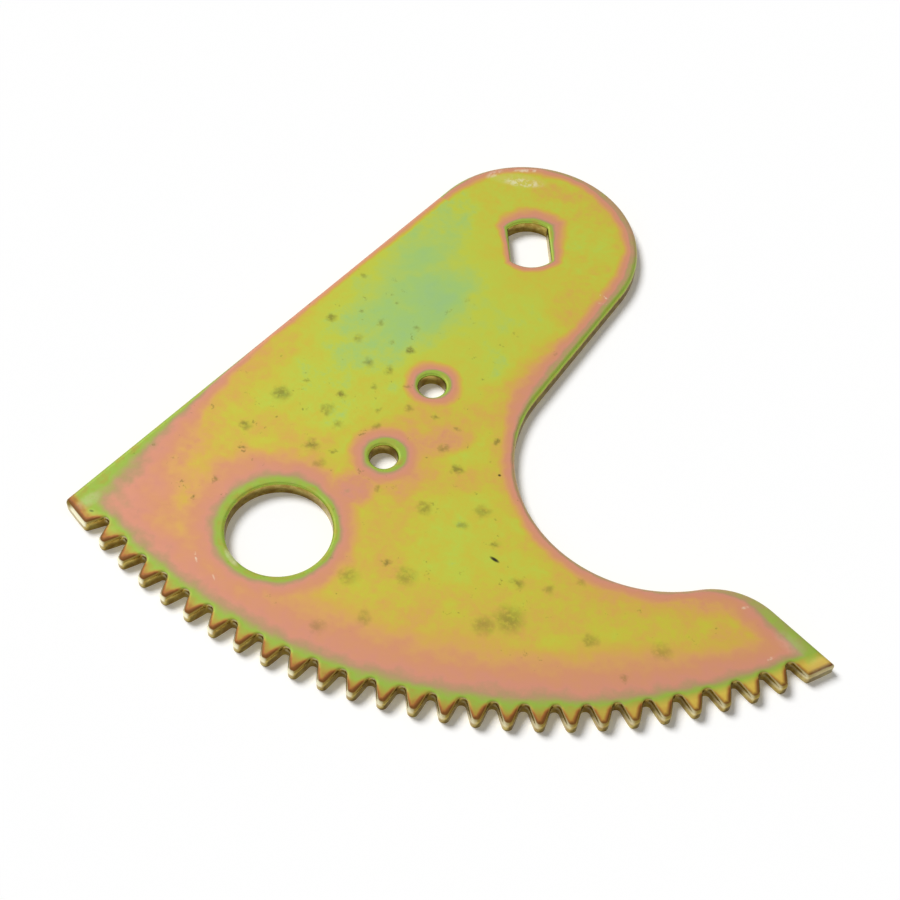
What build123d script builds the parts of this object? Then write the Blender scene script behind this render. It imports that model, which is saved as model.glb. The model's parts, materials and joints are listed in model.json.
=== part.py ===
from build123d import *
from math import acos, atan2, cos, degrees, hypot, radians, sin, sqrt, tan
import os

# Window regulator sector gear: one blanked steel plate that lies flat on z = 0.
# The origin is the pivot axis on the underside. The rivet holes lie on -Y, and
# the toothed edge is the far end of the plate. Lengths are in millimetres,
# angles in degrees from +X. The left and right sides are those seen from above
# with the teeth towards the viewer.

# Sheet
THICKNESS = 3.0          # blanked plate, face to face
SIDE_ROLL = 0.9          # rounding that blanking leaves on the sides' top edges
TOOTH_BEVEL = 0.3        # the same round the teeth, so small that it is made flat
HOLE_BEVEL = 0.45        # the same round the four holes

# Toothed edge: part of a full involute gear that is centred on the pivot
MODULE = 1.75
FULL_CIRCLE_TEETH = 124  # teeth that the whole circle would have
PRESSURE_ANGLE = 20.0
ADDENDUM = 1.75          # pitch circle to tooth tips
DEDENDUM = 2.1           # pitch circle to the bottoms of the spaces
ROOT_FILLET = 0.5        # corners at the bottom of each space
TIP_ROUND = 0.4          # corners at the tip of each tooth
SPACE_COUNT = 26         # tooth spaces along the edge
RUN_MIDDLE = -74.06      # direction of the middle of the toothed run
LEFT_END_LAND = 6.7      # arc of tip circle on the wide tooth at the left end
RIGHT_END_LAND = 5.8     # the same at the right end
TIP_DROP = 0.55          # how far blanking draws the tooth tips down
TIP_DROP_INSET = 0.35    # how far inside the root circle the drop begins

# Outline
LOBE_RADIUS = 22.75      # round end about the pivot
BAY_RADIUS = 27.5        # deep hollow in the right side
BAY_X = 46.55
BAY_Y = -37.9
HUMP_RADIUS = 14.3       # round shoulder between the hollow and the right end
END_EDGE_FACING = 72.05  # direction that the straight right end faces
END_CORNER = 0.4         # corners where the sides meet the toothed edge

# Holes
PIVOT_HOLE_RADIUS = 6.15     # round ends of the double-D hole
PIVOT_HOLE_FLATS = 8.35      # across its two flats
PIVOT_FLATS_FACING = 31.65   # direction that the flats face
PIVOT_CORNER = 0.4           # where the flats meet the rounds
RIVET_HOLE_RADIUS = 2.7
RIVET_NEAR = 42.9            # pivot to the nearer rivet hole
RIVET_FAR = 62.25            # pivot to the farther rivet hole
LARGE_HOLE_RADIUS = 9.95
LARGE_HOLE_X = -8.7
LARGE_HOLE_Y = -86.05

# Cutting shapes run this far past what they cut
OVERRUN = 1.0

# Gear circles that follow from the sizes above
PITCH_RADIUS = MODULE * FULL_CIRCLE_TEETH / 2
BASE_RADIUS = PITCH_RADIUS * cos(radians(PRESSURE_ANGLE))
TIP_RADIUS = PITCH_RADIUS + ADDENDUM
ROOT_RADIUS = PITCH_RADIUS - DEDENDUM
PITCH_ANGLE = 360 / FULL_CIRCLE_TEETH


def polar(radius, angle):
    """The point at a radius and a direction from the pivot."""
    return Vector(radius * cos(radians(angle)), radius * sin(radians(angle)))


def involute(radius):
    """The involute function of the pressure angle at a radius, in radians."""
    pressure = acos(BASE_RADIUS / radius)
    return tan(pressure) - pressure


def half_space(radius):
    """Half of the angle that a tooth space spans at a radius, where a space
    and a tooth are equally wide on the pitch circle."""
    growth = involute(radius) - involute(PITCH_RADIUS)
    return PITCH_ANGLE / 4 + degrees(growth)


def tooth_space():
    """One tooth space, centred on +X. Its flanks run a little past the tip
    circle. Each is the arc through three points of its involute, and leaves
    the true curve by less than a thousandth of a millimetre."""
    outer_radius = TIP_RADIUS + OVERRUN
    radii = [ROOT_RADIUS, (ROOT_RADIUS + outer_radius) / 2, outer_radius]
    right = [polar(r, -half_space(r)) for r in radii]
    left = [polar(r, half_space(r)) for r in radii]
    flanks = ThreePointArc(*right) + ThreePointArc(*left)
    root = ThreePointArc(right[0], polar(ROOT_RADIUS, 0), left[0])
    mouth = Line(right[-1], left[-1])
    space = make_face(flanks + root + mouth)
    root_corners = space.vertices().sort_by(Axis.X)[:2]
    return fillet(root_corners, ROOT_FILLET)


def tangent_from(point, radius):
    """Where a line from an outside point touches a circle about the pivot, on
    the clockwise side of the point."""
    turn = degrees(acos(radius / point.length))
    return polar(radius, degrees(atan2(point.Y, point.X)) - turn)


# Toothed run: the first and last space, and the corners of the two end teeth
run_half = (SPACE_COUNT - 1) / 2 * PITCH_ANGLE
mouth_half = half_space(TIP_RADIUS)
left_angle = RUN_MIDDLE - run_half - mouth_half - degrees(LEFT_END_LAND / TIP_RADIUS)
right_angle = RUN_MIDDLE + run_half + mouth_half + degrees(RIGHT_END_LAND / TIP_RADIUS)
left_corner = polar(TIP_RADIUS, left_angle)
right_corner = polar(TIP_RADIUS, right_angle)

# Left side: straight from its corner to where it touches the lobe
left_touch = tangent_from(left_corner, LOBE_RADIUS)

# Right side of the lobe: the straight line that touches the lobe on one side
# and the hollow on the other
bay_centre = Vector(BAY_X, BAY_Y)
bay_angle = degrees(atan2(BAY_Y, BAY_X))
cross_angle = degrees(acos((LOBE_RADIUS + BAY_RADIUS) / hypot(BAY_X, BAY_Y)))
facing = bay_angle + cross_angle
right_touch = polar(LOBE_RADIUS, facing)
bay_start = bay_centre - polar(BAY_RADIUS, facing)

# Shoulder: a round that touches the hollow and the straight right end
end_facing = polar(1, END_EDGE_FACING)
end_along = polar(1, END_EDGE_FACING - 90)
hump_offset = (right_corner - bay_centre).dot(end_facing) - HUMP_RADIUS
hump_along = sqrt((BAY_RADIUS + HUMP_RADIUS) ** 2 - hump_offset ** 2)
hump_centre = bay_centre + end_facing * hump_offset + end_along * hump_along
bay_to_hump = (hump_centre - bay_centre).normalized()
bay_end = bay_centre + bay_to_hump * BAY_RADIUS
hump_touch = hump_centre + end_facing * HUMP_RADIUS


def short_arc(centre, start, end):
    """The arc of less than half a turn about a centre, between two points."""
    middle = ((start - centre) + (end - centre)).normalized()
    return ThreePointArc(start, centre + middle * (start - centre).length, end)


def plain_outline():
    """The plate's outline before the teeth are cut, with its end corners sharp."""
    left_facing = degrees(atan2(left_touch.Y, left_touch.X))
    lobe_top = polar(LOBE_RADIUS, (facing + left_facing) / 2)
    outline = ThreePointArc(right_touch, lobe_top, left_touch)
    outline += Line(left_touch, left_corner)
    outline += ThreePointArc(left_corner, polar(TIP_RADIUS, RUN_MIDDLE), right_corner)
    outline += Line(right_corner, hump_touch)
    outline += short_arc(hump_centre, hump_touch, bay_end)
    outline += short_arc(bay_centre, bay_end, bay_start)
    outline += Line(bay_start, right_touch)
    return make_face(outline)


def toothed_outline():
    """The plain outline with rounded end corners and its tooth spaces cut. The
    tooth tips are rounded too."""
    outline = plain_outline()
    ends = [outline.vertices().sort_by_distance(c)[0] for c in (left_corner, right_corner)]
    outline = fillet(ends, END_CORNER)
    space = tooth_space()
    mouths = []
    for number in range(SPACE_COUNT):
        middle = RUN_MIDDLE - run_half + number * PITCH_ANGLE
        outline -= Rot(0, 0, middle) * space
        mouths += [polar(TIP_RADIUS, middle - mouth_half), polar(TIP_RADIUS, middle + mouth_half)]
    tips = [outline.vertices().sort_by_distance(mouth)[0] for mouth in mouths]
    return fillet(tips, TIP_ROUND)


def holes():
    """The double-D pivot hole, the two rivet holes and the large hole."""
    flats = Rectangle(PIVOT_HOLE_FLATS, 2 * PIVOT_HOLE_RADIUS)
    pivot = Circle(PIVOT_HOLE_RADIUS) & Rot(0, 0, PIVOT_FLATS_FACING) * flats
    pivot = fillet(pivot.vertices(), PIVOT_CORNER)
    rivets = [Pos(0, -distance) * Circle(RIVET_HOLE_RADIUS) for distance in (RIVET_NEAR, RIVET_FAR)]
    large = Pos(LARGE_HOLE_X, LARGE_HOLE_Y) * Circle(LARGE_HOLE_RADIUS)
    return [pivot, *rivets, large]


def tip_relief():
    """The ring above the teeth that blanking leaves empty. Its underside falls
    from the top face towards the tooth tips."""
    start = Vector(ROOT_RADIUS - TIP_DROP_INSET, THICKNESS)
    tip = Vector(TIP_RADIUS, THICKNESS - TIP_DROP)
    outer = tip + (tip - start).normalized() * OVERRUN
    above = Vector(outer.X, THICKNESS + OVERRUN)
    back = Vector(start.X, THICKNESS + OVERRUN)
    section = make_face(Polyline(start, outer, above, back, start))
    return revolve(Plane.XZ * section, Axis.Z)


def toothed_plate():
    """The plate without holes, with the same small bevel on all the top edges."""
    plate = extrude(toothed_outline(), THICKNESS) - tip_relief()
    top_edges = plate.faces().sort_by(Axis.Z)[-1].edges()
    slope_edges = plate.faces().filter_by(GeomType.CONE).edges()
    fold = top_edges & slope_edges
    rim = [edge for edge in top_edges + slope_edges if edge not in fold]
    return chamfer(rim, TOOTH_BEVEL)


def rolled_blank():
    """The plain outline as a solid, with the wide rounding on the top edges of
    all the sides but the toothed one."""
    blank = extrude(plain_outline(), THICKNESS)
    run_top = polar(TIP_RADIUS, RUN_MIDDLE) + Vector(0, 0, THICKNESS)
    top_edges = blank.faces().sort_by(Axis.Z)[-1].edges()
    sides = top_edges.sort_by_distance(run_top)[1:]
    return fillet(sides, SIDE_ROLL)


def blanked_plate():
    """The whole plate. Its top edges are rounded or bevelled as blanking leaves
    them, and its bottom edges are sharp."""
    plate = toothed_plate() & rolled_blank()
    for hole in holes():
        plate -= extrude(hole, THICKNESS)
    top = plate.faces().sort_by(Axis.Z)[-1]
    mouths = [edge for wire in top.inner_wires() for edge in wire.edges()]
    return chamfer(mouths, HOLE_BEVEL)


os.makedirs("parts", exist_ok=True)
sector_gear = blanked_plate()
sector_gear.label = "sector_gear"
export_step(sector_gear, "parts/sector_gear.step")
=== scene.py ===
"""The looks of a window regulator's sector gear: one blanked plate with an arc
of teeth, four holes and a yellow chromate finish. Lengths in the settings are
metres and angles are radians, in the frame of the solid model: the origin is
the pivot axis on the underside, +Z is up and the rivet holes lie on -Y."""

import json
from math import acos, atan2, cos, pi, radians, sin, sqrt, tan

import bmesh
import bpy
from bpy.props import FloatProperty, FloatVectorProperty, IntProperty, PointerProperty
from mathutils import Matrix, Vector


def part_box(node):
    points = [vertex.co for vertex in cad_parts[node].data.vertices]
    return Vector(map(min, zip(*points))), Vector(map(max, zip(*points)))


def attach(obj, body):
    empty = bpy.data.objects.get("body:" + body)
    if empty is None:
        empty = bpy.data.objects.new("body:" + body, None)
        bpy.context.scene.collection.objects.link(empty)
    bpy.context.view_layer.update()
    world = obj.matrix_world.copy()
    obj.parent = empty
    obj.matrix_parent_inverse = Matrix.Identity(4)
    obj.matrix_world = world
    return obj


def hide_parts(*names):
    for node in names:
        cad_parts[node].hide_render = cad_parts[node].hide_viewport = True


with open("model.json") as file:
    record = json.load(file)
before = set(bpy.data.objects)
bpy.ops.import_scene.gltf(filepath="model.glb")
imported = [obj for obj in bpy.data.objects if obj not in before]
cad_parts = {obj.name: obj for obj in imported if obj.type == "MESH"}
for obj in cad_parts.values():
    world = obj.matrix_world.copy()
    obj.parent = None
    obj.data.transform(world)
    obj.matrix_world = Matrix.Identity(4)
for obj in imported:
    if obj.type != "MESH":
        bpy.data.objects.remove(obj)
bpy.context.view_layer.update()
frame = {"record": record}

bl_info = {
    "name": "Sector Gear Plate",
    "version": (1, 0, 0),
    "blender": (4, 5, 0),
    "location": "3D View > Sidebar > Sector Gear",
    "description": "Models a blanked sector gear plate, its plating and a plain stage",
    "category": "Add Mesh",
}

# Lengths and colours
MM = 0.001
NODE = "sector_gear"
MOUNTS = {mount["name"]: mount for mount in frame["record"]["mounts"]}
PIVOT = MOUNTS["pivot_hole"]
RIVETS = MOUNTS["rivet_holes"]
LARGE = MOUNTS["large_hole"]
CAD_LOW, CAD_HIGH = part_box(NODE)


def length(name, millimetres, description):
    """A length setting in metres, given in millimetres."""
    return FloatProperty(name=name, description=description, default=millimetres * MM,
                         unit="LENGTH", precision=5)


def angle(name, whole_degrees, description):
    """An angle setting in radians, given in degrees."""
    return FloatProperty(name=name, description=description, default=radians(whole_degrees),
                         subtype="ANGLE", unit="ROTATION")


def linear(red, green, blue):
    """The linear colour of a screen colour of 0 to 255."""
    def channel(value):
        value /= 255
        if value <= 0.04045:
            return value / 12.92
        return ((value + 0.055) / 1.055) ** 2.4
    return channel(red), channel(green), channel(blue)


def colour(name, screen_colour, description):
    """A colour setting, given as a screen colour of 0 to 255."""
    return FloatVectorProperty(name=name, description=description, subtype="COLOR", size=3,
                               default=linear(*screen_colour), min=0, max=1)


def share(name, value, description):
    """A setting from 0 to 1."""
    return FloatProperty(name=name, description=description, default=value, min=0, max=1,
                         subtype="FACTOR")


class SectorPlateSettings(bpy.types.PropertyGroup):
    """Sizes of the plate, its teeth and its holes"""
    thickness: FloatProperty(
        name="Thickness", description="Blanked sheet, face to face",
        default=CAD_HIGH[2] - CAD_LOW[2], unit="LENGTH", precision=5)
    tooth_module: length("Module", 1.75, "Pitch diameter per tooth of the whole circle")
    circle_teeth: IntProperty(
        name="Teeth in circle", description="Teeth that the whole circle would have", default=124)
    pressure_angle: angle("Pressure angle", 20, "Slope of the flanks on the pitch circle")
    addendum: length("Addendum", 1.75, "Pitch circle to tooth tips")
    dedendum: length("Dedendum", 2.1, "Pitch circle to the bottoms of the spaces")
    root_fillet: length("Root fillet", 0.75, "Corners at the bottom of each space")
    tip_round: length("Tip round", 0.8, "Corners at the tip of each tooth")
    space_count: IntProperty(
        name="Tooth spaces", description="Tooth spaces along the edge", default=26)
    run_middle: angle("Run middle", -74.06, "Direction of the middle of the toothed run")
    left_land: length("Left end land", 6.7, "Arc of tip circle on the left end tooth")
    right_land: length("Right end land", 5.8, "Arc of tip circle on the right end tooth")
    lobe_radius: length("Lobe radius", 22.75, "Round end about the pivot")
    bay_radius: length("Bay radius", 27.5, "Deep hollow in the right side")
    bay_x: length("Bay X", 46.55, "Middle of the hollow")
    bay_y: length("Bay Y", -37.9, "Middle of the hollow")
    hump_radius: length("Hump radius", 14.3, "Round shoulder beside the hollow")
    end_facing: angle("End facing", 72.05, "Direction that the straight right end faces")
    left_round: length("Left round", 0.8, "Corner where the left side meets the toothed edge")
    right_round: length("Right round", 0.4, "Corner where the right side meets the toothed edge")
    pivot_radius: length("Pivot hole radius", PIVOT["dims"]["r_mm"], "Round ends of the hole")
    pivot_flats: length("Pivot hole flats", 8.35, "Across the two flats")
    flats_facing: angle("Flats facing", 31.65, "Direction that the flats face")
    pivot_corner: length("Pivot hole corner", 0.4, "Where the flats meet the rounds")
    rivet_radius: length("Rivet hole radius", RIVETS["dims"]["hole_r_mm"], "Both rivet holes")
    large_radius: length("Large hole radius", LARGE["dims"]["r_mm"], "The large round hole")
    side_roll: length("Side roll", 0.9, "Rounding of the top edges of the sides")
    root_roll: length("Root roll", 0.45, "Rounding of the top edges of the tooth spaces")
    tip_roll: length("Tip roll", 0.95, "The same at the tooth tips")
    hole_roll: length("Hole roll", 0.6, "Rounding of the top edges of the holes")
    tip_drop: length("Tip drop", 0.5, "How far blanking draws the tooth tips down")
    tip_drop_width: length("Tip drop width", 5.2, "How far inside the tips the drop begins")


class SectorFinishSettings(bpy.types.PropertyGroup):
    """Colours of the plating, in the order in which its film grows thicker, with painted highlights
    on the teeth and walls
    """
    film_teal: colour("Film 1", (140, 183, 134), "Thinnest film, a clouded blue green")
    film_mint: colour("Film 2", (157, 191, 104), "Pale green in the clouds")
    film_lime: colour("Film 3", (183, 193, 66), "Yellow green")
    film_yellow: colour("Film 4", (193, 183, 60), "Most of the top face")
    film_gold: colour("Film 5", (202, 166, 73), "Gold")
    film_orange: colour("Film 6", (206, 156, 90), "Orange, inside the pink bands")
    film_salmon: colour("Film 7", (204, 142, 103), "Salmon, in the pink bands")
    film_pink: colour("Film 8", (204, 139, 114), "The pink bands near the edges")
    film_mauve: colour("Film 9", (176, 142, 104), "Dull change from pink to green")
    film_olive: colour("Film 10", (160, 158, 86), "The same, nearer to the green")
    film_green: colour("Film 11", (146, 174, 65), "The green rims")
    film_amber: colour("Film 12", (170, 148, 60), "Yellow beside the teeth")
    film_rust: colour("Film 13", (158, 98, 46), "Orange of the rolled teeth")
    # Brown of the thickest film, which also paints the dark reflection along the fold of the teeth
    film_brown_and_fold_reflection: colour("Film 14", (122, 78, 34), "Brown where the edges begin to bend")
    # Painted highlight on the bent edges of the teeth that face left
    bend_painted_highlight: colour("Bend, left", (255, 250, 214), "Bent edges of the teeth that face left")
    bend_gold: colour("Bend", (140, 120, 58), "The teeth's other bent edges")
    # Painted highlight on the faces of the right-hand teeth
    tooth_painted_highlight: colour("Right teeth", (232, 202, 86), "Brighter faces of the right-hand teeth")
    # Painted highlight on the cut walls that face left
    wall_painted_highlight: colour("Wall, left", (255, 251, 222), "Cut walls that face left")
    wall_olive: colour("Wall, streaks", (188, 170, 92), "Paler streaks of the other walls")
    wall_brown: colour("Wall", (158, 130, 60), "The other cut walls")
    smudge_olive: colour("Smudge", (112, 106, 44), "Small stains on the top face")
    pale_mark: colour("Pale mark", (232, 228, 200), "Scuffs on the top face")
    dark_mark: colour("Dark mark", (34, 32, 22), "Small black marks")
    face_roughness: share("Face roughness", 0.5, "Roughness of the flat faces")
    wall_roughness: share("Wall roughness", 0.22, "Roughness of the cut walls")
    face_metallic: share("Face metallic", 0.13, "How metallic the clouded faces look")
    wall_metallic: share("Wall metallic", 1.0, "How metallic the cut walls look")


class SectorStageSettings(bpy.types.PropertyGroup):
    """Camera, lamp and floor"""
    lens: FloatProperty(
        name="Lens", description="Focal length on a 36 mm sensor", default=67.09, unit="CAMERA")
    distance: length("Distance", 323.956, "Camera to the point that it looks at")
    target_x: length("Target X", 9.454, "Point that the camera looks at")
    target_y: length("Target Y", -52.821, "Point that the camera looks at")
    azimuth: angle("Azimuth", 24.3, "Turn of the view about the vertical")
    elevation: angle("Elevation", 55.056, "Height of the camera above the floor")
    roll: angle("Roll", 4.646, "Turn of the camera about its own axis")
    lamp_azimuth: angle("Lamp azimuth", 165, "Direction of the lamp from the plate")
    lamp_elevation: angle("Lamp elevation", 51, "Height of the lamp above the floor")
    lamp_spread: angle("Lamp spread", 27, "Apparent width of the lamp")
    lamp_strength: FloatProperty(
        name="Lamp strength", description="Sun strength", default=2.82, min=0)
    sky_strength: FloatProperty(
        name="Sky strength", description="Even light from all sides", default=0.24, min=0)
    floor_size: length("Floor size", 3000, "Side of the square floor")


class ToothForm:
    """The involute teeth: radii and angles that follow from the settings."""

    def __init__(self, sizes):
        self.pitch_radius = sizes.tooth_module * sizes.circle_teeth / 2
        self.base_radius = self.pitch_radius * cos(sizes.pressure_angle)
        self.tip_radius = self.pitch_radius + sizes.addendum
        self.root_radius = self.pitch_radius - sizes.dedendum
        self.pitch = 2 * pi / sizes.circle_teeth
        self.run_half = (sizes.space_count - 1) / 2 * self.pitch
        mouth_half = self.half_space(self.tip_radius)
        reach = self.run_half + mouth_half
        self.left_angle = sizes.run_middle - reach - sizes.left_land / self.tip_radius
        self.right_angle = sizes.run_middle + reach + sizes.right_land / self.tip_radius

    def involute(self, radius):
        """The involute function of the pressure angle at a radius."""
        pressure = acos(self.base_radius / radius)
        return tan(pressure) - pressure

    def half_space(self, radius):
        """Half of the angle that a tooth space spans at a radius."""
        return self.pitch / 4 + self.involute(radius) - self.involute(self.pitch_radius)


class PlateForm:
    """The outline of the plate: centres, directions and touching points."""

    def __init__(self, sizes):
        self.teeth = teeth = ToothForm(sizes)
        self.left_corner = polar(teeth.tip_radius, teeth.left_angle)
        self.right_corner = polar(teeth.tip_radius, teeth.right_angle)
        turn = acos(sizes.lobe_radius / teeth.tip_radius)
        self.left_facing = teeth.left_angle - turn + 2 * pi
        self.bay = Vector((sizes.bay_x, sizes.bay_y, 0))
        cross = acos((sizes.lobe_radius + sizes.bay_radius) / self.bay.length)
        self.right_facing = atan2(sizes.bay_y, sizes.bay_x) + cross
        self.end_normal = polar(1, sizes.end_facing)
        self.end_along = polar(1, sizes.end_facing - pi / 2)
        rise = (self.right_corner - self.bay).dot(self.end_normal) - sizes.hump_radius
        along = sqrt((sizes.bay_radius + sizes.hump_radius) ** 2 - rise ** 2)
        self.hump = self.bay + self.end_normal * rise + self.end_along * along
        self.bay_to_hump = (self.hump - self.bay).normalized()
        self.hump_touch = self.hump + self.end_normal * sizes.hump_radius


def polar(radius, direction):
    """The point at a radius and a direction from the pivot axis."""
    return Vector((radius * cos(direction), radius * sin(direction), 0))


def chain(plate, start, points):
    """Joins a row of points to a vertex by edges and returns the last vertex."""
    for point in points:
        vert = plate.verts.new(point)
        plate.edges.new((start, vert))
        start = vert
    return start


def arc(plate, start, centre, turn, steps):
    """Draws an arc from a vertex about a centre and returns its last vertex."""
    swept = bmesh.ops.spin(plate, geom=[start], cent=centre, axis=(0, 0, 1), angle=turn,
                           steps=steps)
    return [item for item in swept["geom_last"] if isinstance(item, bmesh.types.BMVert)][0]


MERGE = 0.002 * MM
FLANK_STEPS = 6


def draw_teeth(plate, sizes, teeth):
    """Draws the toothed run, from the middle of one land to the middle of
    another, and returns its left end vertex."""
    first = sizes.run_middle - teeth.run_half
    rise = teeth.tip_radius - teeth.root_radius
    radii = [teeth.root_radius + rise * step / FLANK_STEPS for step in range(FLANK_STEPS + 1)]
    left = [polar(r, first - teeth.half_space(r)) for r in reversed(radii)]
    right = [polar(r, first + teeth.half_space(r)) for r in radii]
    start = polar(teeth.tip_radius, first - teeth.pitch / 2)
    end = polar(teeth.tip_radius, first + teeth.pitch / 2)
    chain(plate, plate.verts.new(start), left + right + [end])
    copies = sizes.space_count - 1
    space = plate.verts[:] + plate.edges[:]
    bmesh.ops.spin(plate, geom=space, cent=(0, 0, 0), axis=(0, 0, 1), angle=copies * teeth.pitch,
                   steps=copies, use_duplicate=True)
    bmesh.ops.remove_doubles(plate, verts=plate.verts[:], dist=MERGE)
    return nearest(plate, start)


def nearest(plate, point):
    """The vertex nearest to a point."""
    return min(plate.verts, key=lambda vert: (vert.co - point).length)


LOBE_STEPS = 72
BAY_STEPS = 56
HUMP_STEPS = 20
LAND_STEPS = 3


def draw_sides(plate, sizes, form, left_end):
    """Draws the end lands and the sides, from the left end of the toothed run
    round the lobe, the hollow and the shoulder to its right end."""
    teeth = form.teeth
    first_land = sizes.run_middle - teeth.run_half - teeth.pitch / 2
    corner = arc(plate, left_end, (0, 0, 0), teeth.left_angle - first_land, LAND_STEPS)
    touch = chain(plate, corner, [polar(sizes.lobe_radius, form.left_facing)])
    lobe_turn = form.right_facing - form.left_facing
    touch = arc(plate, touch, (0, 0, 0), lobe_turn, LOBE_STEPS)
    bay_start = form.bay - polar(sizes.bay_radius, form.right_facing)
    touch = chain(plate, touch, [bay_start])
    bay_turn = atan2(form.bay_to_hump.y, form.bay_to_hump.x) + pi - form.right_facing
    touch = arc(plate, touch, form.bay, bay_turn, BAY_STEPS)
    back = form.bay_to_hump
    hump_turn = sizes.end_facing - atan2(-back.y, -back.x)
    touch = arc(plate, touch, form.hump, hump_turn, HUMP_STEPS)
    corner = chain(plate, touch, [form.right_corner])
    last_land = sizes.run_middle + teeth.run_half + teeth.pitch / 2
    arc(plate, corner, (0, 0, 0), last_land - teeth.right_angle, LAND_STEPS)
    bmesh.ops.remove_doubles(plate, verts=plate.verts[:], dist=MERGE)


def corner_turn(vert):
    """How far an outline turns at a vertex."""
    before, after = (edge.other_vert(vert).co - vert.co for edge in vert.link_edges)
    return pi - before.angle(after)


def round_corners(plate, verts, radius, segments):
    """Rounds like corners of a flat outline to a radius."""
    reach = radius * tan(corner_turn(verts[0]) / 2)
    bmesh.ops.bevel(plate, geom=verts, offset=reach, offset_type="OFFSET", segments=segments,
                    profile=0.5, affect="VERTICES", material=-1, clamp_overlap=False)


SHARP = radians(30)
TIP_SEGMENTS = 4
ROOT_SEGMENTS = 5
END_SEGMENTS = 5
HOLE_SEGMENTS = 5


def draw_outline(plate, sizes, form):
    """Draws the outer edge of the plate with all its corners rounded."""
    teeth = form.teeth
    left_end = draw_teeth(plate, sizes, teeth)
    draw_sides(plate, sizes, form, left_end)
    bmesh.ops.edgeloop_fill(plate, edges=plate.edges[:])
    corners = [vert for vert in plate.verts if corner_turn(vert) > SHARP]
    ends = [nearest(plate, form.left_corner), nearest(plate, form.right_corner)]
    tips = [v for v in corners if v.co.length > teeth.pitch_radius and v not in ends]
    roots = [v for v in corners if v.co.length < teeth.pitch_radius]
    for end, radius in zip(ends, (sizes.left_round, sizes.right_round)):
        round_corners(plate, [end], radius, END_SEGMENTS)
    tips = [v for v in tips if v.is_valid]
    round_corners(plate, tips, sizes.tip_round, TIP_SEGMENTS)
    roots = [v for v in roots if v.is_valid]
    round_corners(plate, roots, sizes.root_fillet, ROOT_SEGMENTS)
    bmesh.ops.delete(plate, geom=plate.faces[:], context="FACES_ONLY")


ROUND_HOLE_STEPS = 48
LARGE_HOLE_STEPS = 96


def draw_holes(plate, sizes):
    """Draws the two rivet holes, the large hole and the double-D pivot hole."""
    middle = Vector(RIVETS["pos_m"])
    spacing = RIVETS["dims"]["spacing_y_mm"] * MM
    for side in (-1, 1):
        place = Matrix.Translation((middle.x, middle.y + side * spacing / 2, 0))
        bmesh.ops.create_circle(plate, segments=ROUND_HOLE_STEPS, radius=sizes.rivet_radius,
                                matrix=place)
    place = Matrix.Translation((LARGE["pos_m"][0], LARGE["pos_m"][1], 0))
    bmesh.ops.create_circle(plate, segments=LARGE_HOLE_STEPS, radius=sizes.large_radius,
                            matrix=place)
    bmesh.ops.create_circle(plate, segments=LARGE_HOLE_STEPS, cap_ends=True,
                            radius=sizes.pivot_radius)
    flat = polar(1, sizes.flats_facing)
    for outward in (flat, -flat):
        (hole,) = plate.faces
        bmesh.ops.bisect_plane(plate, geom=[hole, *hole.edges, *hole.verts],
                               plane_co=outward * sizes.pivot_flats / 2, plane_no=outward,
                               clear_outer=True)
    (hole,) = plate.faces
    corners = [vert for vert in hole.verts if corner_turn(vert) > SHARP]
    round_corners(plate, corners, sizes.pivot_corner, HOLE_SEGMENTS)
    bmesh.ops.delete(plate, geom=plate.faces[:], context="FACES_ONLY")


# Rings of the top face, in millimetres inside its edge, and those after which
# vertices that nearly meet are joined
RING_STEPS = (0.05, 0.14, 0.26, 0.42, 0.58, 0.74, 0.9)
COLLAPSE_RINGS = (0.42, 0.74)
COLLAPSE_MERGE = 0.05 * MM

# Height of a line of vertices round the walls, as a share of the thickness
BURNISH_LINE = 0.36

# How far from a hole or a tooth space its own rounding reaches, and how far
# from an end corner that of the sides does
HOLE_REACH = 1.3 * MM
RUN_REACH = 1.4 * MM
END_BLEND = 0.8 * MM

# The inset of vertices that belong to the underside, and the slope of normal
# below which a face does
UNDERSIDE_INSET = -1
UNDERSIDE_SLOPE = -0.5


def roll_radius(point, sizes, form):
    """The rounding of the top edge that is nearest to a point."""
    flat = Vector((point.x, point.y, 0))
    holes = [(Vector((0, 0, 0)), sizes.pivot_radius), (Vector(LARGE["pos_m"]), sizes.large_radius)]
    middle = Vector(RIVETS["pos_m"])
    offset = Vector((0, RIVETS["dims"]["spacing_y_mm"] * MM / 2, 0))
    holes += [(middle + offset, sizes.rivet_radius), (middle - offset, sizes.rivet_radius)]
    for centre, radius in holes:
        if (flat - centre.xy.to_3d()).length < radius + HOLE_REACH:
            return sizes.hole_roll
    near_end = min((flat - form.left_corner).length, (flat - form.right_corner).length)
    on_run = flat.length > form.teeth.root_radius - RUN_REACH
    if on_run and near_end > END_BLEND:
        teeth = form.teeth
        share = (flat.length - teeth.root_radius) / (teeth.tip_radius - teeth.root_radius)
        share = min(1, max(0, share))
        return sizes.root_roll + (sizes.tip_roll - sizes.root_roll) * share
    return sizes.side_roll


def lower_edges(plate, inset, sizes, form):
    """Lowers the rings of the top face to their place on the rounded edges."""
    for vert in plate.verts:
        depth = vert[inset]
        if depth == UNDERSIDE_INSET:
            continue
        radius = roll_radius(vert.co, sizes, form)
        short = max(0, radius - depth)
        drop = radius - sqrt(radius ** 2 - short ** 2)
        vert.co.z -= drop


def draw_tips_down(plate, sizes, teeth):
    """Bends the tooth tips down, as blanking draws them."""
    start = teeth.tip_radius - sizes.tip_drop_width
    for vert in plate.verts:
        beyond = vert.co.xy.length - start
        if beyond > 0:
            bend = sizes.tip_drop * (beyond / sizes.tip_drop_width) ** 2
            vert.co.z -= bend * vert.co.z / sizes.thickness


def corners_of(faces):
    """The vertices of some faces, each once and in the order of the faces, so
    that the mesh comes out the same on each run."""
    return list(dict.fromkeys(vert for face in faces for vert in face.verts))


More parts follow.
